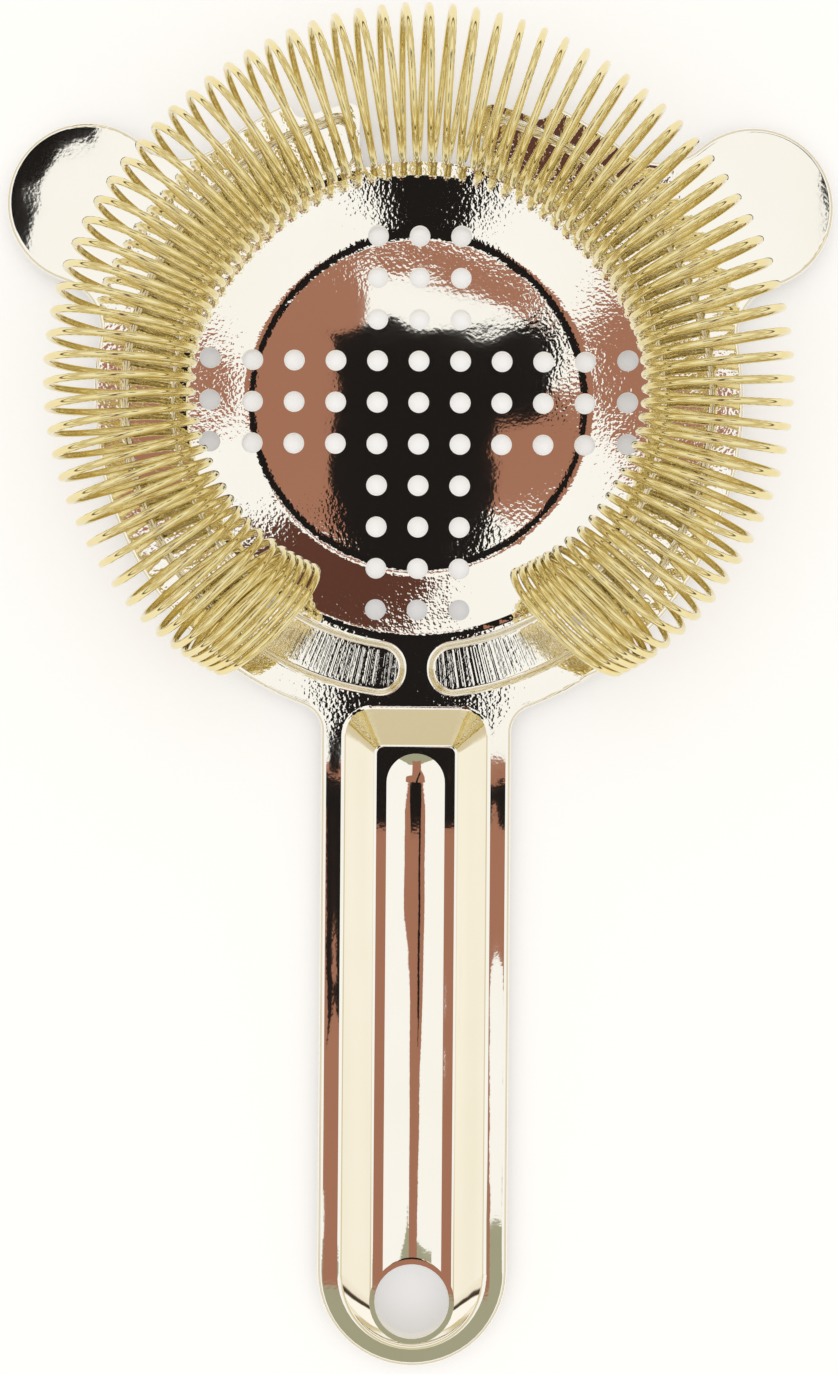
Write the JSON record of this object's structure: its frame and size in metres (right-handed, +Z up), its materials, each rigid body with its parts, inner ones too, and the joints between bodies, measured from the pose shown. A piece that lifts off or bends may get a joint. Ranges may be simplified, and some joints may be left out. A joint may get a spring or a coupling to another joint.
{
  "type": "hawthorne strainer",
  "caption": "One-piece pressed bar strainer with perforated round plate, ears, raised-pad handle with hang hole, and a coil spring around the rim.",
  "frame": {"origin": "under the middle of the whole strainer, at the level of the flat dish bottom it lies on", "axes": "+Z up towards the spring's side, +Y towards the pouring window, -Y towards the handle's end, +X to the right"},
  "size_m": [0.099, 0.1586, 0.02],
  "materials": {
    "plate": "mirror polished, pale champagne gold plating on stainless steel",
    "spring": "bright gold plated round spring wire"
  },
  "bodies": {
    "plate": {"strainer_plate": "plate"},
    "spring": {"spring_left_end": "spring", "spring_right_end": "spring"},
    "front_coils": {"spring_front": "spring"},
    "left_coils": {"spring_left": "spring"},
    "right_coils": {"spring_right": "spring"}
  },
  "joints": [
    {"name": "spring_lift", "type": "slide", "parent": "plate", "child": "spring", "axis": [0, 0, 1], "range_m": [0, 0.025]},
    {"name": "press_front", "type": "slide", "parent": "spring", "child": "front_coils", "axis": [0, -1, 0], "range_m": [0, 0.003], "stiffness_N_per_m": 800, "deforming": ["spring_front"]},
    {"name": "press_left", "type": "slide", "parent": "spring", "child": "left_coils", "axis": [1, 0, 0], "range_m": [0, 0.003], "stiffness_N_per_m": 800, "deforming": ["spring_left"]},
    {"name": "press_right", "type": "slide", "parent": "spring", "child": "right_coils", "axis": [-1, 0, 0], "range_m": [0, 0.003], "stiffness_N_per_m": 800, "deforming": ["spring_right"]}
  ]
}
